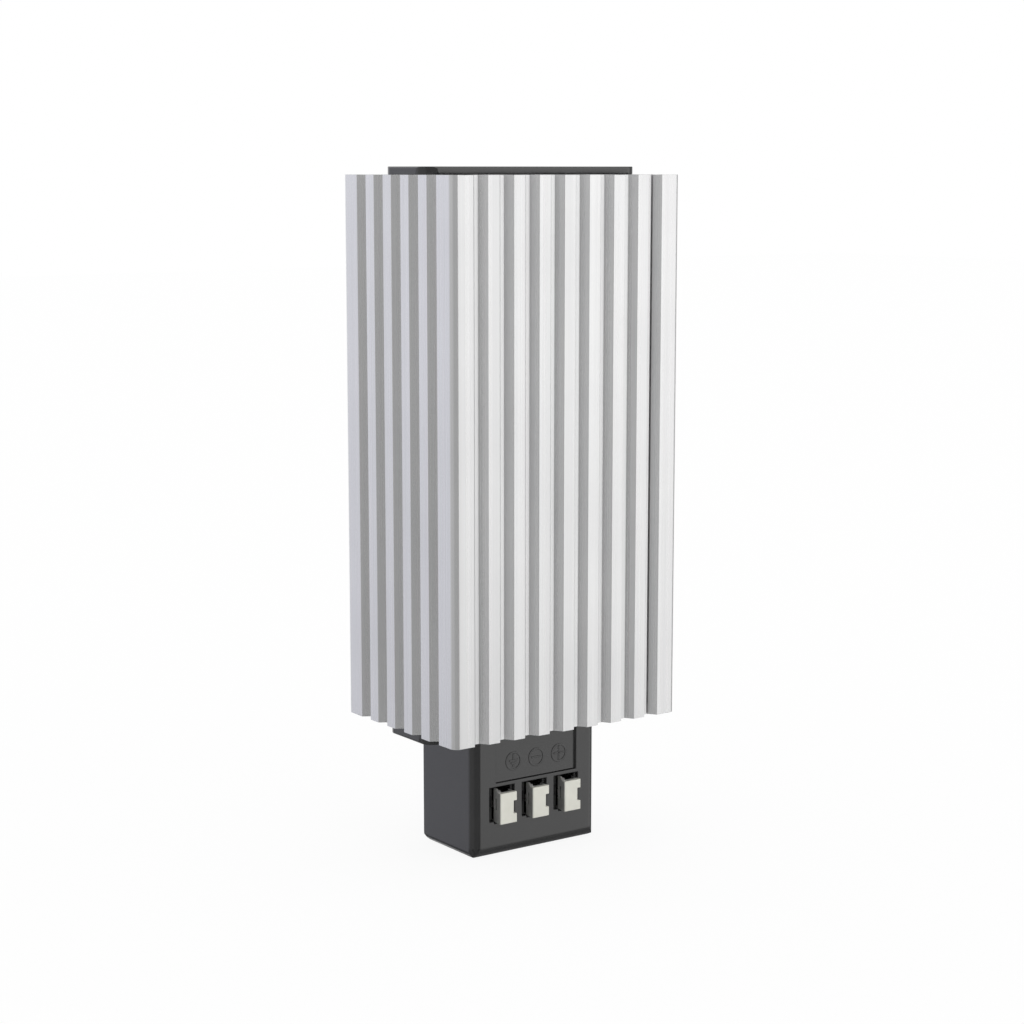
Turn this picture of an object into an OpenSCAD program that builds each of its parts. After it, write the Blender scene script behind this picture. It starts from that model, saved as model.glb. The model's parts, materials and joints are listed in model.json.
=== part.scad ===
// Enclosure heater for a 35 mm rail: a ribbed aluminium extrusion with a heating pack in its core,
// a cap on top, and a terminal housing with three press-to-open wire clamps below.
// Lengths are in millimetres. +X points right as seen from the front, +Y to the back and +Z up.
// The origin is the middle of the rail seat, on the back of the clip.

/* [Heat sink] */
// Width of the extruded profile
sink_w = 70; // [62:1:90]
// Depth of the profile, front to back
sink_d = 50; // [46:1:70]
// Height of the profile
sink_h = 140; // [100:1:240]
// Radius of the four upright corners
corner_r = 1.8; // [0.8:0.1:2.6]
// Depth of the grooves between the ribs
groove_depth = 2.05; // [1.2:0.05:3]
// Width of a groove at its mouth
groove_mouth = 4.2; // [3:0.1:5]
// Width of a groove at its floor
groove_floor = 1.45; // [0.8:0.05:2.4]
// Radius of the ribs' edges
crest_r = 0.15; // [0.1:0.05:0.5]
// Radius at the foot of the ribs
foot_r = 0.5; // [0.2:0.1:0.7]
// Grooves on the front, and as many on the back
front_grooves = 8; // [4:1:9]
// Grooves on each side
side_grooves = 5; // [2:1:6]
// Width of a corner rib seen from the front
front_corner_rib = 6.1; // [4:0.1:8]
// Width of a corner rib seen from the side
side_corner_rib = 6.9; // [4:0.1:8]
// Wall left between a groove floor and an air duct
wall = 1.2; // [1:0.1:2.4]
// Radius in the corners of the air ducts
duct_r = 1.5; // [0.5:0.1:3]
// Webs between the core and the front wall, and as many to the back wall
webs = 3; // [1:2:5]
// Thickness of a web
web_t = 1.2; // [1:0.1:2.5]
// Thickness of the middle rear web, which takes the clip rivets
clip_web_t = 5; // [4.8:0.1:8]
// Depth of the core bar, front to back
core_d = 12.4; // [11:0.1:16]
// Wall round the two hollows of the core
core_wall = 1.6; // [1.2:0.1:2.2]
// Width of the relief slit in the last groove of the front and of the back
slit_w = 0.45; // [0.3:0.05:0.7]
// Distance of a screw channel from the end of the core
screw_edge = 5.4; // [4.5:0.1:7]
// Radius of a screw channel
channel_r = 1.65; // [1.4:0.05:2]

/* [Heating pack] */
// Width of a heating element
stone_w = 24; // [20:0.5:28]
// Height of a heating element
stone_h = 20; // [12:0.5:30]
// Thickness of a heating element
stone_t = 2.2; // [1.6:0.1:3]
// Gap between two heating elements
stone_gap = 2; // [0.5:0.5:4]
// Length of the core left free at each end
pack_margin = 14; // [12:1:24]
// Thickness of an electrode strip
electrode_t = 0.6; // [0.4:0.1:1]
// Overhang of an electrode past the elements, side and end
electrode_over = 0.6; // [0.2:0.1:1]
// Width of an electrode tail
tail_w = 4; // [3:0.5:5]
// Reach of the electrode tails below the core
tail_drop = 7; // [5:0.5:9]
// Thickness of the insulating sleeve
sleeve_t = 0.4; // [0.2:0.1:0.8]
// Length of sleeve past the electrodes at each end
sleeve_over = 4; // [1:0.5:6]
// Side clearance in the pack
pack_gap = 0.1; // [0.05:0.05:0.2]

/* [End cap and flange] */
// Distance of the cap from the sides of the profile
cap_inset = 1.75; // [1:0.05:4]
// Front of cap and flange, in front of the profile's middle
cap_front = 10.4; // [9:0.1:12]
// Back of cap and flange, behind the profile's middle
cap_back = 9.4; // [9:0.1:12]
// Thickness of the cap
cap_t = 2; // [1.9:0.1:4]
// Thickness of the flange under the core
flange_t = 2.4; // [1.9:0.1:3]
// Radius of the upright corners of cap and flange
cap_corner = 4.5; // [2:0.1:6]
// Rounding of the outer edge of cap and flange
cap_edge = 0.7; // [0.3:0.1:1]
// Depth of the cap's plug in the core
plug_h = 3; // [1:0.5:6]
// Head radius of the countersunk screws
head_r = 3.2; // [2.6:0.1:3.6]
// Head height of the countersunk screws
head_h = 1.6; // [1.2:0.1:1.8]
// Length of the countersunk screws
screw_len = 14; // [8:1:30]
// Depth of the cross in a screw head
cross_h = 0.9; // [0.4:0.1:1.1]
// Width of the arms of the cross
cross_w = 0.8; // [0.5:0.1:1]
// Length of the cross as a share of the head
cross_share = 0.6; // [0.4:0.05:0.75]

/* [Terminal housing] */
// Front of the housing, in front of the profile's middle
box_front = 10.8; // [9.5:0.1:13]
// Back of the housing, behind the profile's middle
box_back = 12.9; // [11:0.1:15]
// Plastic beside the outer clamps
box_margin = 5.5; // [4:0.1:8]
// Plastic below the clamps
box_floor = 9.4; // [5:0.1:14]
// Width of the wiring space past each side of the heating chamber
neck_over = 2; // [1.6:0.1:2.4]
// Radius of the upright edges at the front
box_corner = 2.5; // [1:0.1:4]
// Radius of the upright edges at the back
rear_corner = 0.6; // [0.3:0.1:4]
// Rounding of the lower edges at the sides
box_edge = 1.8; // [0.5:0.1:3]
// Rounding of the lower edge at the front
front_edge = 2.6; // [0.5:0.1:4]
// Rounding of the lower edge at the back
rear_edge = 3.4; // [0.5:0.1:5]
// Width of the sunk field for the pole signs
field_w = 25.6; // [18:0.1:30]
// Middle of the sunk field, to the right of the housing's middle
field_shift = 0.3; // [0:0.1:1]
// Lower edge of the sunk field, below the heat sink
field_drop = 15.1; // [10:0.1:15.5]
// Depth of the sunk field
field_depth = 0.7; // [0.3:0.1:1]
// Thickness of the barriers between the poles
barrier_t = 1.6; // [1:0.1:2]
// Height of the barriers
barrier_h = 6; // [3:0.5:8]

/* [Wire clamps] */
// Distance between two poles
pole_pitch = 10.3; // [9.8:0.1:12]
// Width of a clamp pocket
pocket_w = 7.7; // [6.8:0.1:8.6]
// Middle of a clamp pocket, to the left of its lever
pocket_shift = 0.4; // [0:0.1:0.4]
// Height of a clamp pocket
pocket_h = 8.9; // [7.8:0.1:11]
// Depth of a clamp pocket
pocket_depth = 1; // [0.8:0.1:4]
// Upper edge of the pockets, below the heat sink
pocket_drop = 16.2; // [16:0.1:22]
// Depth of the chamber behind the front of the housing
clamp_depth = 16.5; // [15:0.1:18]
// Width of a lever
lever_w = 5.1; // [4.8:0.1:6]
// Middle of a lever, to the right of its stirrup
lever_shift = 0.2; // [0:0.1:0.3]
// Height of a lever
lever_h = 8.2; // [7.5:0.1:10]
// Thickness of a lever
lever_t = 1.1; // [0.8:0.1:1.4]
// Front of a lever, in front of the housing
lever_proud = 2.3; // [1.8:0.1:3]
// Top of a lever, below the upper edge of its pocket
lever_drop = 1.2; // [0.4:0.1:1.5]
// Height of the notch in a lever
notch_h = 3.4; // [2:0.1:5]
// Depth of the notch in a lever
notch_d = 1; // [0.5:0.1:1.4]
// Width of the wire entry over a lever
entry_w = 4; // [3:0.1:4.2]
// Sheet thickness of a stirrup
stirrup_t = 0.6; // [0.4:0.1:0.8]
// Depth of a stirrup's cheeks
cheek_d = 2; // [2:0.1:2.4]
// Width of the upright at the back of a cheek
cheek_post = 0.6; // [0.6:0.1:1.1]
// Height of the upper bar in a cheek
top_bar = 2.6; // [1.6:0.1:2.8]
// Height of the window in a cheek
window_h = 3; // [2:0.1:3.2]
// Recess below a pocket for the legs of a stirrup
leg_drop = 0.6; // [0.4:0.1:1]
// Width of a stirrup's tongue
tongue_w = 2.8; // [2:0.1:3]
// Side clearance of a stirrup in its guide
guide_gap = 0.25; // [0.15:0.05:0.4]
// Width of a leaf spring
leaf_w = 4.6; // [3.5:0.1:5]
// Thickness of a leaf spring
leaf_t = 0.4; // [0.3:0.05:0.6]
// Inner radius of the bend in a leaf spring
leaf_r = 1; // [0.6:0.1:1.4]
// Length of a leaf spring's foot
leaf_foot = 5; // [4:0.1:6]
// Angle that a leaf spring is bent through
leaf_bend = 120; // [110:1:130]
// Clearance at the tip of a leaf spring
tip_gap = 0.2; // [0.1:0.05:0.4]
// Width of a contact bar
contact_w = 7.2; // [6.4:0.1:8]
// Thickness of a contact bar
contact_t = 0.8; // [0.5:0.1:1.2]
// Radius of a lead over its insulation
lead_r = 1.1; // [0.9:0.05:1.4]
// Radius of a lead's bare conductor
conductor_r = 0.6; // [0.4:0.05:0.8]
// Clearance round a conductor
lead_gap = 0.08; // [0.03:0.01:0.15]

/* [Earth screw] */
// Radius of the earth screw's shank
earth_r = 1; // [0.8:0.05:1.2]
// Length of the earth screw's shank
earth_len = 8; // [5:0.5:14]
// Head radius of the earth screw
earth_head_r = 2.1; // [1.7:0.1:2.4]
// Head height of the earth screw
earth_head_h = 1.5; // [1:0.1:2]
// Thickness of the earth tag
tag_t = 0.7; // [0.4:0.1:1]
// Width of the earth tag's tongue
tag_w = 3; // [2:0.1:3.6]

/* [Rail clip] */
// Width of the rail over its two edges
rail_w = 35; // [32:0.5:38]
// Sheet thickness of the rail
rail_t = 1; // [0.8:0.1:1.5]
// Clearance between rail and clip
rail_gap = 0.2; // [0.1:0.05:0.4]
// Width of the clip
clip_w = 25; // [16:1:40]
// Sheet thickness of the clip
clip_t = 1.2; // [0.8:0.1:1.6]
// Overlap of a hook behind the rail
hook = 2.7; // [2:0.1:4]
// Length of the release tail
clip_tail = 4.5; // [3:0.5:8]
// Slope of the release tail below the horizontal
tail_slope = 40; // [20:5:60]
// Distance between the two rivets
rivet_spacing = 16; // [12:1:20]
// Radius of a rivet's shank
rivet_r = 1.6; // [1.2:0.1:2]
// Length of a rivet's shank in the heat sink
rivet_len = 9; // [5:0.5:12]
// Head radius of a rivet
rivet_head_r = 3; // [2.4:0.1:3.6]
// Head height of a rivet
rivet_head_h = 0.8; // [0.5:0.1:1.2]

/* [Hidden] */
$fn = 48;
cut = 1;
bend_facet = 7.5;
corner_facet = 15;
fit_gap = 0.05;

// Heat sink
front_pitch = (sink_w - 2 * front_corner_rib - groove_mouth) / (front_grooves - 1);
side_pitch = (sink_d - 2 * side_corner_rib - groove_mouth) / (side_grooves - 1);
last_groove_x = front_pitch * (front_grooves - 1) / 2;
shell = groove_depth + wall;
duct_w = sink_w - 2 * shell;
duct_d = sink_d - 2 * shell;
web_pitch = duct_w / (webs + 1);
screw_x = duct_w / 2 - screw_edge;
shank_r = channel_r - fit_gap;

// Heating pack
electrode_w = stone_w + 2 * electrode_over;
sleeve_w = electrode_w + 2 * (pack_gap + sleeve_t);
sleeve_d = stone_t + 2 * (electrode_t + sleeve_t);
chamber_w = sleeve_w + 2 * pack_gap;
stones = floor((sink_h - 2 * pack_margin + stone_gap) / (stone_h + stone_gap));
pack_h = stones * (stone_h + stone_gap) - stone_gap;
pack_z = (sink_h - pack_h) / 2;
electrode_z = pack_z - electrode_over;
electrode_h = pack_h + 2 * electrode_over;
electrode_y = (stone_t + electrode_t) / 2;
side_tail_x = (electrode_w - tail_w) / 2;
lead_y = stone_t / 2 + electrode_t + conductor_r + lead_gap;
lead_top = -tail_w / 4;

// Cap, flange and housing
cap_w = sink_w - 2 * cap_inset;
cap_d = cap_front + cap_back;
earth_x = -side_tail_x;
earth_y = (sleeve_d + core_d) / 4;
neck_w = chamber_w + 2 * neck_over;
neck_d = 2 * (earth_y + earth_head_r + guide_gap);
box_w = 2 * pole_pitch + pocket_w + 2 * box_margin;
box_d = box_front + box_back;
box_h = pocket_drop + pocket_h + box_floor;
floor_z = -pocket_drop - pocket_h;

// Wire clamps
guide_w = lever_w + 2 * guide_gap;
stirrup_front = -box_front - lever_proud + lever_t;
lever_top = -pocket_drop - lever_drop;
lever_mid = lever_top - lever_h / 2;
stirrup_top = -pocket_drop - guide_gap;
stirrup_bottom = floor_z - leg_drop + guide_gap;
boss_w = lever_w - 2 * stirrup_t - 1;
boss_h = lever_h / 2;
contact_l = neck_d - 2 * guide_gap;
chamber_back = -box_front + clamp_depth;
leaf_mid_r = leaf_r + leaf_t / 2;
leaf_lean = 180 - leaf_bend;
leaf_start_y = chamber_back - guide_gap;
leaf_bend_y = leaf_start_y - leaf_foot;
leaf_leg_y = leaf_bend_y - leaf_mid_r * sin(leaf_bend);
leaf_leg_z = floor_z + leaf_t / 2 + leaf_mid_r * (1 - cos(leaf_bend));
leaf_rise = -pocket_drop - tip_gap - leaf_t - leaf_leg_z;
leaf_leg = leaf_rise / sin(leaf_lean);
web_h = boss_h / 2;
tongue_z = lever_mid - boss_h / 2 + 2 * stirrup_t;
leaf_face_y = leaf_leg_y + (tongue_z - leaf_leg_z) / tan(leaf_lean) - leaf_t / 2 / sin(leaf_lean);
stirrup_back = leaf_face_y - tip_gap;

// Rail clip
clip_z = sink_h / 2;
seat_y = sink_d / 2 + clip_t;
hook_r = (rail_t + rail_gap) / 2;
hook_mid_r = hook_r + clip_t / 2;
clip_span = rail_w + 2 * rail_gap;
lip = hook + rail_gap;

// Colours
anodised = [0.83, 0.83, 0.84];
black_plastic = [0.11, 0.11, 0.12];
ivory = [0.86, 0.85, 0.79];
steel = [0.58, 0.58, 0.57];
tinned = [0.75, 0.74, 0.72];
ceramic = [0.38, 0.35, 0.33];
amber_film = [0.75, 0.45, 0.12];

// Puts a piece drawn about the foot of the profile's axis into the frame of the rail seat
module place() {
  translate([0, -seat_y, -clip_z])
    children();
}

// Rectangle with round corners, centred on the origin
module round_rect(w, d, r) {
  square([w - 2 * r, d], center = true);
  square([w, d - 2 * r], center = true);
  for (sx = [-1, 1], sy = [-1, 1])
    translate([sx * (w / 2 - r), sy * (d / 2 - r)])
      circle(r);
}

// Upright rectangle on the X axis with its two upper corners round
module arch(w, h, left_r, right_r) {
  translate([left_r - w / 2, 0])
    square([w - left_r - right_r, h]);
  translate([-w / 2, 0])
    square([w / 2, h - left_r]);
  square([w / 2, h - right_r]);
  translate([left_r - w / 2, h - left_r])
    circle(left_r);
  translate([w / 2 - right_r, h - right_r])
    circle(right_r);
}

// Block on the XY plane with round upright corners and a round upper edge on each side
module soft_block(w, d, h, corner, side_r, front_r, back_corner, back_r) {
  intersection() {
    linear_extrude(h)
      intersection() {
        translate([0, -d / 2])
          arch(w, d, back_corner, back_corner);
        mirror([0, 1])
          translate([0, -d / 2])
            arch(w, d, corner, corner);
      }
    rotate([90, 0, 0])
      linear_extrude(d + 2 * cut, center = true)
        arch(w, h, side_r, side_r);
    rotate([90, 0, 90])
      linear_extrude(w + 2 * cut, center = true)
        arch(d, h, front_r, back_r);
  }
}

// Plate of the cap and the flange
module end_plate(t) {
  translate([0, (cap_back - cap_front) / 2, 0])
    soft_block(cap_w, cap_d, t, cap_corner, cap_edge, cap_edge, cap_corner, cap_edge);
}

// Unit vectors along a heading and to its left
function ahead(turn) = [cos(turn), sin(turn)];
function left(turn) = [-sin(turn), cos(turn)];

// Points along one side of a bent strip that starts along +X. Each step is a straight length,
// a bend angle to the left and the bend's radius at mid thickness.
function strip_edge(steps, side, i = 0, at = [0, 0], turn = 0) =
  i == len(steps)
  ? [at + side * left(turn)]
  : let (
      bend = steps[i][1],
      r = sign(bend) * steps[i][2],
      centre = at + steps[i][0] * ahead(turn) + r * left(turn),
      facets = ceil(abs(bend) / bend_facet),
      arc = [for (k = [0:facets]) centre + (side - r) * left(turn + bend * k / max(facets, 1))]
    )
    concat(
      i == 0 ? [at + side * left(turn)] : [],
      bend == 0 ? [] : arc,
      strip_edge(steps, side, i + 1, centre - r * left(turn + bend), turn + bend)
    );

// Bent strip of thickness t
module strip(steps, t) {
  upper = strip_edge(steps, t / 2);
  lower = strip_edge(steps, -t / 2);
  polygon(concat(upper, [for (k = [len(lower) - 1:-1:0]) lower[k]]));
}

// Turns a shape drawn with +X to the back and +Y up into a plate of width w across the part
module across(w) {
  rotate([90, 0, 90])
    linear_extrude(w, center = true)
      children();
}

// Points of a round corner of radius r at p, between two headings
function round_corner(p, from, to, r) =
  let (
    turn = to - from,
    start = p - r * tan(abs(turn) / 2) * ahead(from),
    centre = start + sign(turn) * r * left(from),
    facets = ceil(abs(turn) / corner_facet)
  )
  [for (k = [0:facets]) centre - sign(turn) * r * left(from + turn * k / facets)];

// Groove cut into a face that lies on the X axis, running into +Y
module groove() {
  slope = atan2(groove_depth, (groove_mouth - groove_floor) / 2);
  crest = round_corner([groove_mouth / 2, 0], 180, 180 - slope, crest_r);
  foot = round_corner([groove_floor / 2, groove_depth], 180 - slope, 180, foot_r);
  half = concat([[crest[0][0], -cut]], crest, foot);
  polygon(concat(half, [for (k = [len(half) - 1:-1:0]) [-half[k][0], half[k][1]]]));
}

// Row of grooves along a face that lies on the X axis
module groove_row(count, pitch) {
  for (i = [0:count - 1])
    translate([(i - (count - 1) / 2) * pitch, 0])
      groove();
}

// Relief slit through the wall at the foot of the last front groove
module slit() {
  translate([last_groove_x + groove_floor / 2 - slit_w, groove_depth - cut / 2 - sink_d / 2])
    square([slit_w, wall + cut]);
}

// Air ducts before and behind the core
module ducts() {
  difference() {
    round_rect(duct_w, duct_d, duct_r);
    square([duct_w + cut, core_d], center = true);
    for (i = [0:webs - 1])
      translate([(i - (webs - 1) / 2) * web_pitch, 0])
        square([web_t, duct_d + cut], center = true);
    translate([-clip_web_t / 2, 0])
      square([clip_web_t, duct_d]);
  }
}

// Hollows in the core between the heating chamber and the screw channels
module core_hollows() {
  hollow_in = chamber_w / 2 + core_wall;
  hollow_out = screw_x - channel_r - core_wall;
  for (s = [-1, 1])
    translate([s * (hollow_in + hollow_out) / 2, 0])
      square([hollow_out - hollow_in, core_d - 2 * core_wall], center = true);
}

// Cross-section of the extrusion
module sink_profile() {
  difference() {
    round_rect(sink_w, sink_d, corner_r);
    for (turn = [0, 180])
      rotate(turn) {
        translate([0, -sink_d / 2])
          groove_row(front_grooves, front_pitch);
        translate([sink_w / 2, 0])
          rotate(90)
            groove_row(side_grooves, side_pitch);
        slit();
      }
    ducts();
    core_hollows();
    square([chamber_w, sleeve_d], center = true);
    for (s = [-1, 1])
      translate([s * screw_x, 0])
        circle(channel_r);
  }
}

module heat_sink() {
  color(anodised)
    place()
      difference() {
        linear_extrude(sink_h)
          sink_profile();
        translate([earth_x, earth_y, -cut])
          cylinder(r = earth_r + fit_gap, h = earth_len + 2 * cut);
        for (s = [-1, 1])
          translate([0, sink_d / 2 + cut, clip_z + s * rivet_spacing / 2])
            rotate([90, 0, 0])
              cylinder(r = rivet_r + fit_gap, h = rivet_len + 2 * cut);
      }
}

// Countersunk hole from z = 0 down through a plate
module screw_hole(plate) {
  translate([0, 0, -head_h])
    cylinder(r1 = shank_r + fit_gap, r2 = head_r + fit_gap, h = head_h);
  translate([0, 0, -plate - cut])
    cylinder(r = shank_r + fit_gap, h = plate + cut);
}

// Cross-shaped drive cut into a screw head whose top lies at z = 0
module cross(r) {
  for (turn = [0, 90])
    rotate(turn)
      translate([-r * cross_share, -cross_w / 2, -cross_h])
        cube([2 * r * cross_share, cross_w, cross_h + cut]);
}

// Countersunk screw with its head flush at z = 0
module end_screw() {
  difference() {
    union() {
      translate([0, 0, -head_h])
        cylinder(r1 = shank_r, r2 = head_r, h = head_h);
      translate([0, 0, -screw_len])
        cylinder(r = shank_r, h = screw_len);
    }
    cross(head_r);
  }
}

module top_cap() {
  color(black_plastic)
    place()
      translate([0, 0, sink_h])
        difference() {
          union() {
            end_plate(cap_t);
            translate([pack_gap - chamber_w / 2, pack_gap - sleeve_d / 2, -plug_h])
              cube([chamber_w - 2 * pack_gap, sleeve_d - 2 * pack_gap, plug_h + cap_t / 2]);
          }
          for (s = [-1, 1])
            translate([s * screw_x, 0, cap_t])
              screw_hole(cap_t);
        }
}

module top_cap_screws() {
  color(steel)
    place()
      for (s = [-1, 1])
        translate([s * screw_x, 0, sink_h + cap_t])
          end_screw();
}

module housing_screws() {
  color(steel)
    place()
      for (s = [-1, 1])
        translate([s * screw_x, 0, -flange_t])
          mirror([0, 0, 1])
            end_screw();
}

// Pocket in the front of the housing, and the guide chamber behind it that opens into the wiring space
module clamp_space() {
  translate([-pocket_w / 2 - pocket_shift, -box_front - cut, floor_z])
    cube([pocket_w, pocket_depth + cut, pocket_h]);
  translate([-guide_w / 2, -box_front, floor_z])
    cube([guide_w, clamp_depth, pocket_h]);
  translate([-guide_w / 2, -neck_d / 2, floor_z])
    cube([guide_w, neck_d / 2 + chamber_back, pocket_h + cut]);
  translate([-guide_w / 2, -box_front - cut, floor_z - leg_drop])
    cube([guide_w, cheek_d + guide_gap + cut, leg_drop + cut]);
}

// Shape of the moulding before it is hollowed
module housing_block() {
  mirror([0, 0, 1])
    end_plate(flange_t);
  translate([0, (box_back - box_front) / 2, 0])
    mirror([0, 0, 1])
      soft_block(box_w, box_d, box_h, box_corner, box_edge, front_edge, rear_corner, rear_edge);
}

module terminal_housing() {
  color(black_plastic)
    place() {
      difference() {
        housing_block();
        translate([-neck_w / 2, -neck_d / 2, -pocket_drop])
          cube([neck_w, neck_d, pocket_drop + cut]);
        for (pole = [-1:1])
          translate([pole * pole_pitch, 0, 0])
            clamp_space();
        translate([field_shift - field_w / 2, -box_front - cut, -field_drop])
          cube([field_w, field_depth + cut, field_drop - flange_t]);
        for (s = [-1, 1])
          translate([s * screw_x, 0, -flange_t])
            mirror([0, 0, 1])
              screw_hole(flange_t);
      }
      for (s = [-1, 1])
        translate([s * pole_pitch / 2 - barrier_t / 2, -neck_d / 2 - cut / 2, -pocket_drop - cut / 2])
          cube([barrier_t, neck_d + cut, barrier_h + cut / 2]);
    }
}

module heating_elements() {
  color(ceramic)
    place()
      for (i = [0:stones - 1])
        translate([-stone_w / 2, -stone_t / 2, pack_z + i * (stone_h + stone_gap)])
          cube([stone_w, stone_t, stone_h]);
}

// Strip on one face of the elements, with a tail that reaches down to its lead
module electrode(tail_x) {
  translate([-electrode_w / 2, -electrode_t / 2, electrode_z])
    cube([electrode_w, electrode_t, electrode_h]);
  translate([tail_x - tail_w / 2, -electrode_t / 2, -tail_drop])
    cube([tail_w, electrode_t, tail_drop + electrode_z + cut]);
}

module front_electrode() {
  color(tinned)
    place()
      translate([0, -electrode_y, 0])
        electrode(side_tail_x);
}

module rear_electrode() {
  color(tinned)
    place()
      translate([0, electrode_y, 0])
        electrode(0);
}

module insulating_sleeve() {
  sleeve_z = electrode_z - sleeve_over;
  sleeve_h = electrode_h + 2 * sleeve_over;
  color(amber_film)
    place()
      translate([0, 0, sleeve_z])
        linear_extrude(sleeve_h)
          difference() {
            square([sleeve_w, sleeve_d], center = true);
            square([sleeve_w - 2 * sleeve_t, sleeve_d - 2 * sleeve_t], center = true);
          }
}

module earth_screw() {
  color(steel)
    place()
      translate([earth_x, earth_y, -tag_t - earth_head_h])
        difference() {
          union() {
            cylinder(r = earth_head_r, h = earth_head_h);
            cylinder(r = earth_r, h = earth_head_h + tag_t + earth_len);
          }
          mirror([0, 0, 1])
            cross(earth_head_r);
        }
}

// Ring under the earth screw with a tongue that takes the lead
module earth_tag() {
  color(tinned)
    place()
      translate([earth_x, 0, -tag_t])
        linear_extrude(tag_t)
          difference() {
            union() {
              translate([0, earth_y])
                circle(earth_head_r);
              translate([-tag_w / 2, -tag_w / 2])
                square([tag_w, earth_y + tag_w / 2]);
            }
            translate([0, earth_y])
              circle(earth_r + fit_gap);
            circle(conductor_r + lead_gap);
          }
}

// Upright lead from a contact bar to its tail or tag, bare at both ends
module lead(top, cover_top) {
  foot = -pocket_drop + contact_t;
  translate([0, 0, foot])
    cylinder(r = lead_r, h = cover_top - foot);
  translate([0, 0, -pocket_drop])
    cylinder(r = conductor_r, h = top + pocket_drop);
}

module earth_lead() {
  color("yellowgreen")
    place()
      translate([earth_x, 0, 0])
        lead(0, -tag_t - earth_head_h);
}

module neutral_lead() {
  color("royalblue")
    place()
      translate([0, lead_y, 0])
        lead(lead_top, -tail_drop);
}

module live_lead() {
  color("saddlebrown")
    place()
      translate([side_tail_x, -lead_y, 0])
        lead(lead_top, -tail_drop);
}

// Contact bar that lies across its chamber, with an eyelet for the lead
module contact(pole, eyelet_x, eyelet_y) {
  color(tinned)
    place()
      difference() {
        translate([pole * pole_pitch - contact_w / 2, -contact_l / 2, -pocket_drop])
          cube([contact_w, contact_l, contact_t]);
        translate([eyelet_x, eyelet_y, -pocket_drop - cut])
          cylinder(r = conductor_r + lead_gap, h = contact_t + 2 * cut);
      }
}

// Leaf spring: a foot on the chamber floor, a bend at the front and a leg up to the contact bar
module leaf_spring(pole) {
  color(steel)
    place()
      translate([pole * pole_pitch, 0, 0])
        across(leaf_w)
          translate([leaf_start_y, floor_z + leaf_t / 2])
            rotate(180)
              strip([[leaf_foot, -leaf_bend, leaf_mid_r], [leaf_leg, 0, 0]], leaf_t);
}

// Bent steel stirrup behind a lever: a front plate bevelled at the top, two cheeks with windows, a web
// between the cheeks, and a tongue to the spring. The wire goes in over the lever, where the right cheek
// is cut down.
module stirrup(pole) {
  height = stirrup_top - stirrup_bottom;
  window_z = stirrup_top - top_bar - window_h;
  bevel = stirrup_top - lever_top;
  web_y = stirrup_front + cheek_d - stirrup_t;
  color(steel)
    place()
      translate([pole * pole_pitch, 0, 0]) {
        difference() {
          translate([-lever_w / 2, stirrup_front, stirrup_bottom])
            cube([lever_w, cheek_d, height]);
          translate([stirrup_t - lever_w / 2, stirrup_front + stirrup_t, stirrup_bottom - cut])
            cube([lever_w - 2 * stirrup_t, cheek_d, height + 2 * cut]);
          translate([lever_w / 2 - entry_w, stirrup_front - cut, lever_top])
            cube([entry_w + cut, cheek_d + 2 * cut, height]);
          translate([-boss_w / 2 - fit_gap, stirrup_front - cut, lever_mid - boss_h / 2 - fit_gap])
            cube([boss_w + 2 * fit_gap, stirrup_t + 2 * cut, boss_h + 2 * fit_gap]);
          translate([-lever_w / 2 - cut, stirrup_front + stirrup_t, window_z])
            cube([lever_w + 2 * cut, cheek_d - stirrup_t - cheek_post, window_h]);
          across(lever_w + 2 * cut)
            translate([stirrup_front, lever_top])
              polygon([[-cut, -cut], [bevel + cut, bevel + cut], [-cut, bevel + cut]]);
        }
        translate([(stirrup_t - lever_w) / 2, web_y, tongue_z])
          cube([lever_w - stirrup_t, stirrup_t, web_h]);
        translate([-tongue_w / 2, web_y, tongue_z])
          cube([tongue_w, stirrup_back - web_y, stirrup_t]);
      }
}

// Moulded lever: a notched plate with a boss that snaps into the stirrup
module lever(pole) {
  notch_x = lever_shift + lever_w / 2 - notch_d;
  color(ivory)
    place()
      translate([pole * pole_pitch, 0, 0]) {
        difference() {
          translate([lever_shift - lever_w / 2, stirrup_front - lever_t, lever_top - lever_h])
            cube([lever_w, lever_t, lever_h]);
          translate([notch_x, stirrup_front - lever_t - cut, lever_mid - notch_h / 2])
            cube([notch_d + cut, lever_t + 2 * cut, notch_h]);
        }
        translate([-boss_w / 2, stirrup_front - lever_t / 2, lever_mid - boss_h / 2])
          cube([boss_w, lever_t / 2 + stirrup_t + guide_gap, boss_h]);
      }
}

// Spring steel strip bent into two hooks for the rail, with a release tail below
module rail_clip() {
  bends = [
    [lip, 180, hook_mid_r],
    [clip_span, 180, hook_mid_r],
    [lip, -90 - tail_slope, hook_mid_r],
    [clip_tail, 0, 0]
  ];
  color(steel)
    place()
      translate([0, 0, clip_z])
        difference() {
          across(clip_w)
            translate([seat_y + 2 * hook_r + clip_t / 2, clip_span / 2 - lip])
              rotate(90)
                strip(bends, clip_t);
          for (s = [-1, 1])
            translate([0, seat_y + cut, s * rivet_spacing / 2])
              rotate([90, 0, 0])
                cylinder(r = rivet_r + fit_gap, h = clip_t + 2 * cut);
        }
}

module clip_rivets() {
  color(tinned)
    place()
      for (s = [-1, 1])
        translate([0, seat_y, clip_z + s * rivet_spacing / 2])
          rotate([90, 0, 0]) {
            translate([0, 0, -rivet_head_h])
              cylinder(r = rivet_head_r, h = rivet_head_h);
            translate([0, 0, -rivet_head_h / 2])
              cylinder(r = rivet_r, h = rivet_head_h / 2 + clip_t + rivet_len);
          }
}

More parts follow.
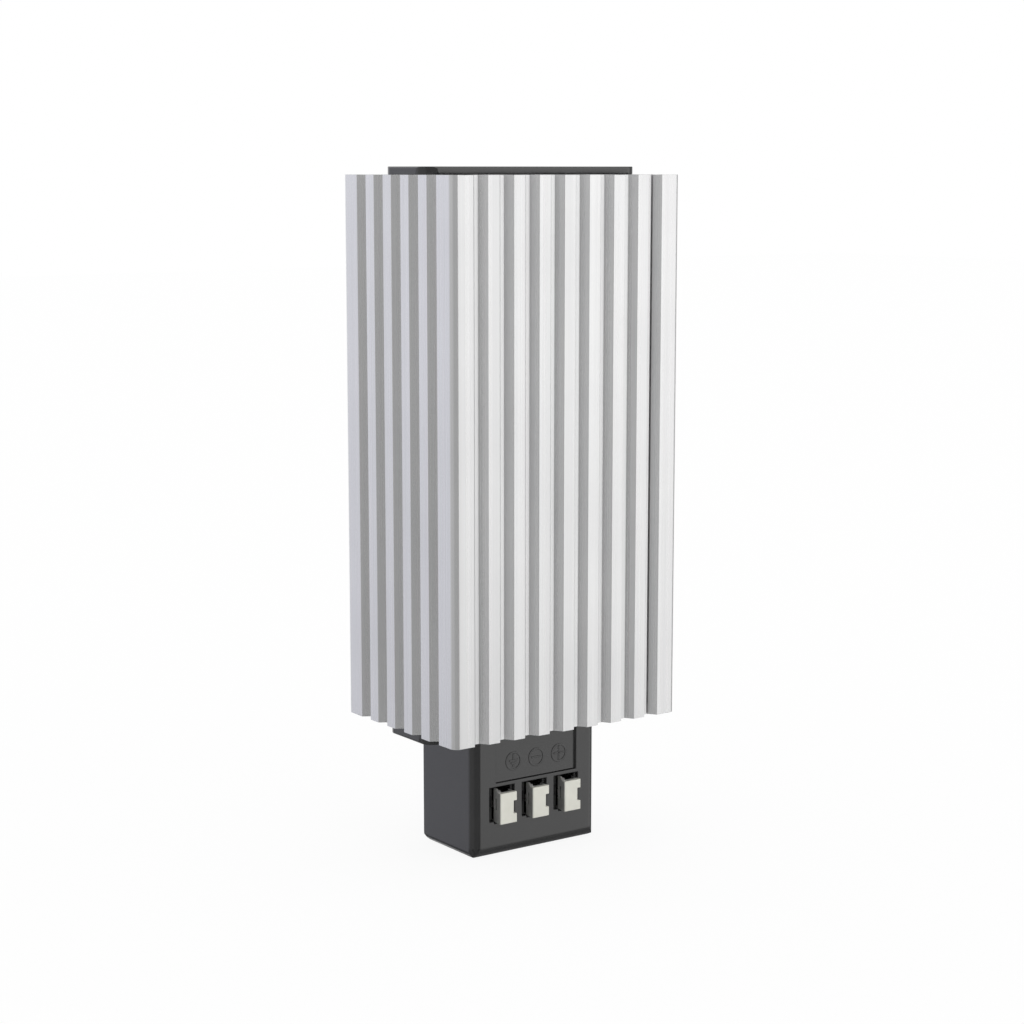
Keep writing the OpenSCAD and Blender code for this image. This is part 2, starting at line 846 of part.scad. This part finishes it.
heat_sink();
top_cap();
top_cap_screws();
terminal_housing();
housing_screws();
heating_elements();
front_electrode();
rear_electrode();
insulating_sleeve();
earth_screw();
earth_tag();
earth_lead();
neutral_lead();
live_lead();
contact(-1, earth_x, 0);  // earth_contact
contact(0, 0, lead_y);  // neutral_contact
contact(1, side_tail_x, -lead_y);  // live_contact
leaf_spring(-1);  // earth_spring
leaf_spring(0);  // neutral_spring
leaf_spring(1);  // live_spring
stirrup(-1);  // earth_stirrup
stirrup(0);  // neutral_stirrup
stirrup(1);  // live_stirrup
lever(-1);  // earth_lever
lever(0);  // neutral_lever
lever(1);  // live_lever
rail_clip();
clip_rivets();
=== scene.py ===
import json
import math

import bmesh
import bpy
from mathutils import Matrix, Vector


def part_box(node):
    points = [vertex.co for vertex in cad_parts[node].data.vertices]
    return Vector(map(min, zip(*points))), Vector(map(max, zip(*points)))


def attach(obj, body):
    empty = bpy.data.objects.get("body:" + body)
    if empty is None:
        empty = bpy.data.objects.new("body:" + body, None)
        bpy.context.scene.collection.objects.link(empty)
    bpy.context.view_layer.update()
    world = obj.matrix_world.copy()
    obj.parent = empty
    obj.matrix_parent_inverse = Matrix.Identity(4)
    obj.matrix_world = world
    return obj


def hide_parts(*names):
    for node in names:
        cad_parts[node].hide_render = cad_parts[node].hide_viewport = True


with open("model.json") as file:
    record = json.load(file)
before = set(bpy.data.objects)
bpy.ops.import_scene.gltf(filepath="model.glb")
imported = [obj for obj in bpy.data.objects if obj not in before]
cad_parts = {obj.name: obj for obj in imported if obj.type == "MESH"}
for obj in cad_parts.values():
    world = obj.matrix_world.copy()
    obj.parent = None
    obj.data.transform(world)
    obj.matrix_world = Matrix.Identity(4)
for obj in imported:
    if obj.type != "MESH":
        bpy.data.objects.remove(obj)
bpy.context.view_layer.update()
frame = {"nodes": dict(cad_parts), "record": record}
mm = 0.001
nodes = frame["nodes"]
bodyOf = {node: body for body, names in frame["record"]["behaviour"]["bodies"].items() for node in names}
slotOf = {part["node"]: part["material_slot"] for part in frame["record"]["subparts"]}
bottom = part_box("terminal_housing")[0].z


# camera at the photo's viewpoint, fitted to the edges of the extrusion
cameraSet = {
    "place": (-0.3343, -0.4962, 0.0716),
    "pitch": 81.285,
    "yaw": -35.435,
    "lens": 78.87,
    "nearest": 0.01,
}


def addCamera(cfg):
    data = bpy.data.cameras.new("camera")
    data.lens = cfg["lens"]
    data.clip_start = cfg["nearest"]
    camera = bpy.data.objects.new("camera", data)
    camera.location = cfg["place"]
    camera.rotation_euler = (math.radians(cfg["pitch"]), 0, math.radians(cfg["yaw"]))
    bpy.context.scene.collection.objects.link(camera)
    bpy.context.scene.camera = camera


addCamera(cameraSet)
bpy.context.scene.view_settings.view_transform = "Standard"
print("camera set")


# small helpers for node trees and meshes

def newTree(material):
    material.use_nodes = True
    tree = material.node_tree
    tree.nodes.clear()
    return tree


def addNode(tree, kind, inputs=None, **props):
    node = tree.nodes.new(kind)
    for name, value in props.items():
        setattr(node, name, value)
    for name, value in (inputs or {}).items():
        if isinstance(value, bpy.types.NodeSocket):
            tree.links.new(value, node.inputs[name])
        else:
            node.inputs[name].default_value = value
    return node


def newGroup(name, inputs, outputs):
    group = bpy.data.node_groups.new(name, "ShaderNodeTree")
    for label, kind, value in inputs:
        socket = group.interface.new_socket(label, in_out="INPUT", socket_type="NodeSocket" + kind)
        socket.default_value = value
    for label, kind in outputs:
        group.interface.new_socket(label, in_out="OUTPUT", socket_type="NodeSocket" + kind)
    return group, group.nodes.new("NodeGroupInput").outputs, group.nodes.new("NodeGroupOutput").inputs


def useGroup(tree, group, **inputs):
    node = tree.nodes.new("ShaderNodeGroup")
    node.node_tree = group
    for name, value in inputs.items():
        node.inputs[name].default_value = value
    return node.outputs


def meshPiece(name, bm, materials, body):
    mesh = bpy.data.meshes.new(name)
    bm.to_mesh(mesh)
    bm.free()
    for material in materials:
        mesh.materials.append(material)
    piece = bpy.data.objects.new(name, mesh)
    bpy.context.scene.collection.objects.link(piece)
    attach(piece, body)
    return piece


# effects shared by the materials

cloudDetail = 3.0
grainDetail = 2.0
bandDetail = 1.0
bandScale = 0.17          # share of the lines' scale, so bands are about six times as wide


# fine mottling of a surface: a soft cloud and a tight grain, both round 0.5
def makeGrain():
    group, inp, out = newGroup("grain",
                               [("Cloud Size", "Float", 60.0), ("Grain Size", "Float", 4000.0)],
                               [("Cloud", "Float"), ("Grain", "Float")])
    place = addNode(group, "ShaderNodeTexCoord").outputs["Object"]
    cloud = addNode(group, "ShaderNodeTexNoise",
                    {"Vector": place, "Scale": inp["Cloud Size"], "Detail": cloudDetail})
    grain = addNode(group, "ShaderNodeTexNoise",
                    {"Vector": place, "Scale": inp["Grain Size"], "Detail": grainDetail})
    group.links.new(cloud.outputs["Fac"], out["Cloud"])
    group.links.new(grain.outputs["Fac"], out["Grain"])
    return group


# long lines left by a die, a roll or a saw, stretched along one axis
def makeLines():
    group, inp, out = newGroup("lines",
                               [("Across", "Float", 5000.0), ("Along", "Float", 12.0),
                                ("Axis", "Vector", (0, 0, 1))],
                               [("Lines", "Float"), ("Bands", "Float")])
    place = addNode(group, "ShaderNodeTexCoord").outputs["Object"]
    across = addNode(group, "ShaderNodeVectorMath", {0: (1, 1, 1), 1: inp["Axis"]}, operation="SUBTRACT")
    wide = addNode(group, "ShaderNodeVectorMath", {0: across.outputs[0], "Scale": inp["Across"]},
                   operation="SCALE")
    long = addNode(group, "ShaderNodeVectorMath", {0: inp["Axis"], "Scale": inp["Along"]},
                   operation="SCALE")
    size = addNode(group, "ShaderNodeVectorMath", {0: wide.outputs[0], 1: long.outputs[0]}, operation="ADD")
    spot = addNode(group, "ShaderNodeVectorMath", {0: place, 1: size.outputs[0]}, operation="MULTIPLY")
    lines = addNode(group, "ShaderNodeTexNoise",
                    {"Vector": spot.outputs[0], "Scale": 1.0, "Detail": grainDetail})
    bands = addNode(group, "ShaderNodeTexNoise",
                    {"Vector": spot.outputs[0], "Scale": bandScale, "Detail": bandDetail})
    group.links.new(lines.outputs["Fac"], out["Lines"])
    group.links.new(bands.outputs["Fac"], out["Bands"])
    return group


grain = makeGrain()
lines = makeLines()
print("shared effects ready")


# materials

noiseLow, noiseHigh = 0.3, 0.7      # where most of a noise lies


def spread(tree, value, low, high):
    span = addNode(tree, "ShaderNodeMapRange", {"Value": value, "From Min": noiseLow, "From Max": noiseHigh,
                                                "To Min": low, "To Max": high})
    return span.outputs["Result"]


def tint(tree, value, dark, light):
    ramp = addNode(tree, "ShaderNodeMix", data_type="RGBA")
    factor = spread(tree, value, 0.0, 1.0)
    tree.links.new(factor, ramp.inputs["Factor"])
    ramp.inputs["A"].default_value = (*dark, 1)
    ramp.inputs["B"].default_value = (*light, 1)
    return ramp.outputs["Result"]


def bumps(tree, height, depth):
    bump = addNode(tree, "ShaderNodeBump", {"Height": height, "Strength": 1.0, "Distance": depth})
    return bump.outputs["Normal"]


def surface(tree, links, **plain):
    shader = addNode(tree, "ShaderNodeBsdfPrincipled")
    for name, value in plain.items():
        shader.inputs[name].default_value = value
    for name, socket in links.items():
        tree.links.new(socket, shader.inputs[name])
    out = addNode(tree, "ShaderNodeOutputMaterial")
    tree.links.new(shader.outputs["BSDF"], out.inputs["Surface"])


# a metal with lines along one axis, which stretch its reflections across them
def linedMetal(name, cfg):
    material = bpy.data.materials.new(name)
    tree = newTree(material)
    across = addNode(tree, "ShaderNodeTangent", direction_type="RADIAL", axis="XYZ"[cfg["axis"].index(1)])
    marks = useGroup(tree, lines, Across=cfg["across"], Along=cfg["along"], Axis=cfg["axis"])
    mottle = useGroup(tree, grain, **{"Cloud Size": cfg["cloud"], "Grain Size": cfg["grain"]})
    both = addNode(tree, "ShaderNodeMath", {0: marks["Lines"], 1: mottle["Cloud"]}, operation="ADD")
    half = addNode(tree, "ShaderNodeMath", {0: both.outputs[0], 1: 0.5}, operation="MULTIPLY")
    relief = addNode(tree, "ShaderNodeMath", {0: marks["Lines"], 1: mottle["Grain"]}, operation="ADD")
    surface(tree, {
        "Base Color": tint(tree, half.outputs[0], cfg["dark"], cfg["light"]),
        "Roughness": spread(tree, marks["Bands"], *cfg["rough"]),
        "Normal": bumps(tree, relief.outputs[0], cfg["depth"]),
        "Tangent": across.outputs["Tangent"],
    }, Metallic=cfg["metal"], Anisotropic=cfg["stretch"])
    return material


# a moulded plastic with a fine spark-eroded grain; film and ceramic are made the same way
def mouldedPlastic(name, cfg):
    material = bpy.data.materials.new(name)
    tree = newTree(material)
    mottle = useGroup(tree, grain, **{"Cloud Size": cfg["cloud"], "Grain Size": cfg["grain"]})
    surface(tree, {
        "Base Color": tint(tree, mottle["Cloud"], cfg["dark"], cfg["light"]),
        "Roughness": spread(tree, mottle["Cloud"], *cfg["rough"]),
        "Normal": bumps(tree, mottle["Grain"], cfg["depth"]),
    }, IOR=cfg["ior"])
    return material


anodisedSet = {
    "dark": (0.80, 0.80, 0.805), "light": (0.87, 0.87, 0.872),
    "metal": 0.85, "rough": (0.24, 0.30), "stretch": 0.4,
    "across": 3500.0, "along": 8.0, "axis": (0, 0, 1), "cloud": 45.0, "grain": 2600.0, "depth": 0.000004,
}
sawnSet = {
    "dark": (0.74, 0.74, 0.745), "light": (0.90, 0.90, 0.905),
    "metal": 0.85, "rough": (0.28, 0.44), "stretch": 0.5,
    "across": 2400.0, "along": 30.0, "axis": (1, 0, 0), "cloud": 80.0, "grain": 3000.0, "depth": 0.000008,
}
blackSet = {
    "dark": (0.014, 0.014, 0.0145), "light": (0.018, 0.018, 0.0185), "rough": (0.13, 0.19), "ior": 1.76,
    "cloud": 90.0, "grain": 5200.0, "depth": 0.000003,
}
ivorySet = {
    "dark": (0.78, 0.775, 0.695), "light": (0.82, 0.815, 0.735), "rough": (0.36, 0.46), "ior": 1.5,
    "cloud": 300.0, "grain": 7000.0, "depth": 0.000003,
}
springSet = {
    "dark": (0.43, 0.43, 0.415), "light": (0.55, 0.55, 0.535),
    "metal": 0.7, "rough": (0.42, 0.54), "stretch": 0.3,
    "across": 9000.0, "along": 120.0, "axis": (0, 1, 0), "cloud": 300.0, "grain": 9000.0, "depth": 0.000002,
}
zincSet = {
    "dark": (0.60, 0.61, 0.63), "light": (0.74, 0.75, 0.76),
    "metal": 1.0, "rough": (0.26, 0.40), "stretch": 0.4,
    "across": 4200.0, "along": 60.0, "axis": (1, 0, 0), "cloud": 220.0, "grain": 6000.0, "depth": 0.000003,
}
screwSet = {
    "dark": (0.54, 0.54, 0.54), "light": (0.66, 0.66, 0.655),
    "metal": 1.0, "rough": (0.24, 0.36), "stretch": 0.2,
    "across": 6000.0, "along": 400.0, "axis": (0, 0, 1), "cloud": 400.0, "grain": 8000.0, "depth": 0.000003,
}
tinnedSet = {
    "dark": (0.64, 0.63, 0.60), "light": (0.78, 0.77, 0.74),
    "metal": 1.0, "rough": (0.30, 0.42), "stretch": 0.3,
    "across": 5000.0, "along": 90.0, "axis": (0, 0, 1), "cloud": 250.0, "grain": 7000.0, "depth": 0.000002,
}
ceramicSet = {
    "dark": (0.26, 0.245, 0.235), "light": (0.36, 0.34, 0.325), "rough": (0.62, 0.78), "ior": 1.6,
    "cloud": 500.0, "grain": 4200.0, "depth": 0.000008,
}
filmSet = {
    "dark": (0.58, 0.29, 0.05), "light": (0.72, 0.40, 0.09), "rough": (0.14, 0.24), "ior": 1.65,
    "cloud": 70.0, "grain": 3000.0, "depth": 0.000002,
}
leadSet = {
    "rough": (0.38, 0.50), "ior": 1.5, "cloud": 350.0, "grain": 6000.0, "depth": 0.000003,
}
leadTints = {
    "blue_insulation": ((0.05, 0.14, 0.42), (0.08, 0.20, 0.52)),
    "brown_insulation": ((0.17, 0.075, 0.035), (0.24, 0.115, 0.055)),
}
earthSet = {
    "green": (0.07, 0.30, 0.06), "yellow": (0.80, 0.62, 0.04), "rough": (0.38, 0.50), "ior": 1.5,
    "cloud": 350.0, "grain": 6000.0, "depth": 0.000003,
}


# wire insulation with one green and one yellow half along its length
def stripedInsulation(name, cfg):
    material = bpy.data.materials.new(name)
    tree = newTree(material)
    mottle = useGroup(tree, grain, **{"Cloud Size": cfg["cloud"], "Grain Size": cfg["grain"]})
    facing = addNode(tree, "ShaderNodeNewGeometry").outputs["Normal"]
    side = addNode(tree, "ShaderNodeSeparateXYZ", {"Vector": facing}).outputs["X"]
    half = addNode(tree, "ShaderNodeMath", {0: side, 1: 0.0}, operation="GREATER_THAN").outputs[0]
    stripe = addNode(tree, "ShaderNodeMix", data_type="RGBA")
    tree.links.new(half, stripe.inputs["Factor"])
    stripe.inputs["A"].default_value = (*cfg["green"], 1)
    stripe.inputs["B"].default_value = (*cfg["yellow"], 1)
    surface(tree, {
        "Base Color": stripe.outputs["Result"],
        "Roughness": spread(tree, mottle["Cloud"], *cfg["rough"]),
        "Normal": bumps(tree, mottle["Grain"], cfg["depth"]),
    }, IOR=cfg["ior"])
    return material


finish = {
    "anodised_aluminium": linedMetal("anodisedAluminium", anodisedSet),
    "black_plastic": mouldedPlastic("blackPlastic", blackSet),
    "ivory_plastic": mouldedPlastic("ivoryPlastic", ivorySet),
    "spring_steel": linedMetal("springSteel", springSet),
    "zinc_steel": linedMetal("zincSteel", zincSet),
    "steel": linedMetal("screwSteel", screwSet),
    "tinned_brass": linedMetal("tinnedBrass", tinnedSet),
    "heating_ceramic": mouldedPlastic("heatingCeramic", ceramicSet),
    "amber_film": mouldedPlastic("amberFilm", filmSet),
    "green_yellow_insulation": stripedInsulation("earthInsulation", earthSet),
}
for slotName, (dark, light) in leadTints.items():
    finish[slotName] = mouldedPlastic(slotName.replace("_insulation", "Insulation"),
                                      {**leadSet, "dark": dark, "light": light})
sawnEnd = linedMetal("sawnEnd", sawnSet)
print("materials:", len(finish) + 1)


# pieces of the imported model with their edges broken, as moulded, bent or sawn edges are

edgeSet = {
    "heat_sink": {"edge": 0.08, "steps": 2},
    "top_cap": {"edge": 0.15, "steps": 2},
    "terminal_housing": {"edge": 0.25, "steps": 3, "cuts": (3.2, 31.6)},     # cuts lie below the heat sink
    "levers": {"edge": 0.18, "steps": 3},
    "stirrups": {"edge": 0.08, "steps": 2},
    "rail_clip": {"edge": 0.12, "steps": 2},
}
flatAngle = math.radians(0.5)     # faces flatter than this to each other are one face
sharpAngle = math.radians(32)     # edges sharper than this get broken
weldGap = 0.002 * mm
sideways = math.radians(35)       # edges that turn off by more than this leave sideways
roomShare = 2.2                   # how much longer than the break those have to be
shortShare = 0.5                  # edges shorter than this share of the break stay sharp
endFacing = 0.9                   # faces that look up or down by more than this are sawn ends


# an edge can be broken where the edges that leave its ends sideways are long enough
def hasRoom(edge, offset):
    for vert in edge.verts:
        along = edge.other_vert(vert).co - vert.co
        for other in vert.link_edges:
            turn = along.angle(other.other_vert(vert).co - vert.co)
            if sideways < turn < math.pi - sideways and other.calc_length() < roomShare * offset:
                return False
    return edge.calc_length() > shortShare * offset


def breakEdges(bm, offset, steps, wanted=None):
    sharp = [e for e in bm.edges if len(e.link_faces) == 2 and e.calc_face_angle() > sharpAngle
             and (wanted is None or wanted(e)) and hasRoom(e, offset)]
    bmesh.ops.bevel(bm, geom=sharp, offset=offset, offset_type="OFFSET", segments=steps,
                    profile=0.5, affect="EDGES", clamp_overlap=False)


def brokenEdges(node, cfg, materials, pick=None):
    bm = bmesh.new()
    bm.from_mesh(nodes[node].data)
    bmesh.ops.remove_doubles(bm, verts=bm.verts, dist=weldGap)
    bmesh.ops.dissolve_limit(bm, angle_limit=flatAngle, verts=bm.verts, edges=bm.edges)
    breakEdges(bm, cfg["edge"] * mm, cfg["steps"])
    for drop in cfg.get("cuts", ()):        # keep the tilted shading at the ends of upright rounds short
        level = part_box("heat_sink")[0].z - drop * mm
        bmesh.ops.bisect_plane(bm, geom=bm.verts[:] + bm.edges[:] + bm.faces[:], plane_co=(0, 0, level),
                               plane_no=(0, 0, 1))
    low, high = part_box(node)
    for vert in bm.verts:                   # nothing stands past the solid
        vert.co = [min(max(c, a), b) for c, a, b in zip(vert.co, low, high)]
    for face in bm.faces:
        face.smooth = True
        face.material_index = pick(face) if pick else 0
    piece = meshPiece(node + "_body", bm, materials, bodyOf[node])
    piece.data.set_sharp_from_angle(angle=sharpAngle)
    even = piece.modifiers.new("evenShading", "WEIGHTED_NORMAL")      # flats stay flat beside their rounds
    even.keep_sharp = True
    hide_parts(node)


def endFace(face):
    return 1 if abs(face.normal.z) > endFacing else 0


brokenEdges("heat_sink", edgeSet["heat_sink"], [finish["anodised_aluminium"], sawnEnd], endFace)
brokenEdges("top_cap", edgeSet["top_cap"], [finish["black_plastic"]])
brokenEdges("terminal_housing", edgeSet["terminal_housing"], [finish["black_plastic"]])
brokenEdges("rail_clip", edgeSet["rail_clip"], [finish["zinc_steel"]])
poles = ("earth", "neutral", "live")
for pole in poles:
    brokenEdges(pole + "_lever", edgeSet["levers"], [finish["ivory_plastic"]])
    brokenEdges(pole + "_stirrup", edgeSet["stirrups"], [finish["spring_steel"]])
print("edges broken")


# steel lips along the left flanks of the levers, in line with the cheeks of the stirrups
lipSet = {
    "setBack": 0.15,
    "gap": 0.02,
    "topDrop": 0.1,
    "edge": 0.05,
    "steps": 2,
}


def cheekLip(pole, cfg):
    lever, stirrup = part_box(pole + "_lever"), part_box(pole + "_stirrup")
    low = Vector((stirrup[0].x, lever[0].y + cfg["setBack"] * mm, lever[0].z))
    high = Vector((lever[0].x - cfg["gap"] * mm, stirrup[0].y, lever[1].z - cfg["topDrop"] * mm))
    bm = bmesh.new()
    bmesh.ops.create_cube(bm, size=1.0)
    bmesh.ops.scale(bm, vec=high - low, verts=bm.verts)
    bmesh.ops.translate(bm, vec=(low + high) / 2, verts=bm.verts)
    breakEdges(bm, cfg["edge"] * mm, cfg["steps"])
    meshPiece(pole + "_cheek_lip", bm, [finish["spring_steel"]], bodyOf[pole + "_stirrup"])


for pole in poles:
    cheekLip(pole, lipSet)
print("lips placed")


# the other pieces keep their solids and get their finish
for name, piece in nodes.items():
    if not piece.hide_render:
        piece.data.materials.clear()
        piece.data.materials.append(finish[slotOf[name]])
print("finishes set")


# raised pole signs on the sunk field of the housing
signSet = {
    "fieldDepth": 0.7,
    "height": 10.2,       # below the heat sink
    "places": {"earth": -6.6, "minus": 0.7, "plus": 8.0},
    "ring": 2.5,
    "stroke": 0.5,
    "relief": 0.12,
    "sink": 0.1,          # how deep the signs reach into the wall
    "ringSteps": 64,
    "edge": 0.09,
    "edgeSteps": 2,
}
signStrokes = {           # middle, width and height of each bar, as shares of the ring, None for the stroke
    "earth": [((0, 0.42), None, 0.70), ((0, 0.06), 1.10, None),
              ((0, -0.22), 0.70, None), ((0, -0.50), 0.30, None)],
    "minus": [((0, 0), 1.20, None)],
    "plus": [((0, 0), 1.30, None), ((0, 0), None, 1.50)],
}


def signBar(bm, middle, width, height, depth):
    made = bmesh.ops.create_cube(bm, size=1.0)["verts"]
    bmesh.ops.scale(bm, vec=(width, depth, height), verts=made)
    bmesh.ops.translate(bm, vec=middle, verts=made)


def signRing(bm, middle, outer, inner, depth, steps):
    loops = []
    for radius in (outer, inner):
        for side in (-0.5, 0.5):
            spots = [Vector((radius * math.cos(a), side * depth, radius * math.sin(a)))
                     for a in (2 * math.pi * k / steps for k in range(steps))]
            loops.append([bm.verts.new(middle + spot) for spot in spots])
    order = (0, 1, 3, 2)
    for k in range(steps):
        nxt = (k + 1) % steps
        for here, there in zip(order, order[1:] + order[:1]):
            bm.faces.new((loops[here][k], loops[here][nxt], loops[there][nxt], loops[there][k]))


def poleSigns(cfg):
    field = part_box("terminal_housing")[0].y + cfg["fieldDepth"] * mm
    depth = (cfg["relief"] + cfg["sink"]) * mm
    middleY = field + (cfg["sink"] - cfg["relief"]) / 2 * mm
    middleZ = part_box("heat_sink")[0].z - cfg["height"] * mm
    ring, stroke = cfg["ring"] * mm, cfg["stroke"] * mm
    for sign, x in cfg["places"].items():
        bm = bmesh.new()
        middle = Vector((x * mm, middleY, middleZ))
        signRing(bm, middle, ring, ring - stroke, depth, cfg["ringSteps"])
        for (dx, dz), width, height in signStrokes[sign]:
            spot = middle + Vector((dx * ring, 0, dz * ring))
            signBar(bm, spot, width * ring if width else stroke, height * ring if height else stroke, depth)
        bmesh.ops.recalc_face_normals(bm, faces=bm.faces)
        breakEdges(bm, cfg["edge"] * mm, cfg["edgeSteps"], lambda e: all(v.co.y < middleY for v in e.verts))
        meshPiece(sign + "_sign", bm, [finish["black_plastic"]], "heater")


poleSigns(signSet)
print("signs placed")


# plain white room: pale floor, white surround, and panels that only the reflections show
stageSet = {
    "floorSize": 6.0,
    "floorColour": (0.95, 0.95, 0.95),
    "floorWhite": 0.9,     # share of plain white that the camera sees in the floor
    "surround": 1.0,
}
panelSet = {
    "radius": 2.0,
    "low": -40.0,           # lower and upper edge, in degrees from the level
    "high": 50.0,
    "fade": [(-27.0, 0.28), (-20.0, 0.80), (-13.0, 0.86), (0.0, 1.0)],     # degrees, share of the glow
    "steps": 24,
}
panels = [                  # angles are seen from above, 0 to the front and 90 to the right
    {"name": "brightPanel", "from": 22, "to": 75, "glow": (1.17, 1.17, 1.165)},
    {"name": "rightPanel", "from": 75, "to": 165, "glow": (0.38, 0.38, 0.38)},
    {"name": "darkPanel", "from": -58, "to": 22, "glow": (0.33, 0.33, 0.33)},
    {"name": "leftPanel", "from": -112, "to": -58, "glow": (0.47, 0.47, 0.47)},
    {"name": "sidePanel", "from": -132, "to": -112, "glow": (0.62, 0.62, 0.66)},
    {"name": "dimPanel", "from": -175, "to": -132, "glow": (0.735, 0.74, 0.81)},
]
underGlow = 0.25            # what the reflections show below the panels


def whiteToEye(tree, strength):
    path = addNode(tree, "ShaderNodeLightPath").outputs
    seen = addNode(tree, "ShaderNodeMath", {0: path["Is Camera Ray"], 1: path["Is Glossy Ray"]},
                   operation="MAXIMUM")
    seen = addNode(tree, "ShaderNodeMath", {0: seen.outputs[0], 1: path["Is Transmission Ray"]},
                   operation="MAXIMUM")
    share = addNode(tree, "ShaderNodeMath", {0: seen.outputs[0], 1: strength}, operation="MULTIPLY")
    return share.outputs[0]


def addFloor(cfg):
    half = cfg["floorSize"] / 2
    mesh = bpy.data.meshes.new("floor")
    corners = [(-half, -half, bottom), (half, -half, bottom), (half, half, bottom), (-half, half, bottom)]
    mesh.from_pydata(corners, [], [(0, 1, 2, 3)])
    floor = bpy.data.objects.new("floor", mesh)
    bpy.context.scene.collection.objects.link(floor)
    material = bpy.data.materials.new("floorPaint")
    tree = newTree(material)
    paint = addNode(tree, "ShaderNodeBsdfDiffuse", {"Color": (*cfg["floorColour"], 1)})
    glow = addNode(tree, "ShaderNodeEmission", {"Color": (1, 1, 1, 1), "Strength": 1.0})
    mix = addNode(tree, "ShaderNodeMixShader", {0: whiteToEye(tree, cfg["floorWhite"]),
                                               1: paint.outputs[0], 2: glow.outputs[0]})
    out = addNode(tree, "ShaderNodeOutputMaterial")
    tree.links.new(mix.outputs[0], out.inputs["Surface"])
    mesh.materials.append(material)
    floor.visible_glossy = False      # reflections show the panels through it


def addSurround(cfg):
    world = bpy.data.worlds.new("surround")
    world.use_nodes = True
    tree = world.node_tree
    tree.nodes.clear()
    white = addNode(tree, "ShaderNodeBackground", {"Color": (1, 1, 1, 1), "Strength": cfg["surround"]})
    out = addNode(tree, "ShaderNodeOutputWorld")
    tree.links.new(white.outputs[0], out.inputs["Surface"])
    bpy.context.scene.world = world


def panelObject(name, points, faces, glow, strength):
    mesh = bpy.data.meshes.new(name)
    mesh.from_pydata(points, [], faces)
    panel = bpy.data.objects.new(name, mesh)
    bpy.context.scene.collection.objects.link(panel)
    material = bpy.data.materials.new(name)
    tree = newTree(material)
    light = addNode(tree, "ShaderNodeEmission", {"Color": (*glow, 1), "Strength": strength(tree)})
    out = addNode(tree, "ShaderNodeOutputMaterial")
    tree.links.new(light.outputs[0], out.inputs["Surface"])
    mesh.materials.append(material)
    panel.visible_camera = False
    panel.visible_diffuse = False
    panel.visible_shadow = False


def panelHeight(cfg, degrees):
    return cfg["radius"] * math.tan(math.radians(degrees))


def fadeByHeight(tree, cfg):
    place = addNode(tree, "ShaderNodeTexCoord").outputs["Object"]
    height = addNode(tree, "ShaderNodeSeparateXYZ", {"Vector": place}).outputs["Z"]
    low, high = panelHeight(cfg, cfg["low"]), panelHeight(cfg, cfg["high"])
    share = addNode(tree, "ShaderNodeMapRange", {"Value": height, "From Min": low, "From Max": high})
    ramp = addNode(tree, "ShaderNodeValToRGB", {"Fac": share.outputs["Result"]})
    stops = ramp.color_ramp.elements
    while len(stops) < len(cfg["fade"]):
        stops.new(0.5)
    for stop, (level, glow) in zip(stops, cfg["fade"]):
        stop.position = (panelHeight(cfg, level) - low) / (high - low)
        stop.color = (glow, glow, glow, 1)
    return ramp.outputs["Color"]


def addPanels(cfg, parts):
    middle = (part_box("heat_sink")[0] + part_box("heat_sink")[1]) / 2

    def onRing(angle, degrees):
        turn = math.radians(angle)
        return (middle.x + cfg["radius"] * math.sin(turn), middle.y - cfg["radius"] * math.cos(turn),
                panelHeight(cfg, degrees))

    steps = cfg["steps"]
    for part in parts:
        angles = [part["from"] + (part["to"] - part["from"]) * k / steps for k in range(steps + 1)]
        points = [onRing(angle, level) for angle in angles for level in (cfg["low"], cfg["high"])]
        faces = [(2 * k, 2 * k + 2, 2 * k + 3, 2 * k + 1) for k in range(steps)]
        panelObject(part["name"], points, faces, part["glow"], lambda tree: fadeByHeight(tree, cfg))
    rim = [onRing(360 * k / steps, cfg["low"]) for k in range(steps)]
    panelObject("underPanel", rim, [tuple(range(steps))], (1, 1, 1), lambda tree: underGlow)


addFloor(stageSet)
addSurround(stageSet)
addPanels(panelSet, panels)
print("stage set")
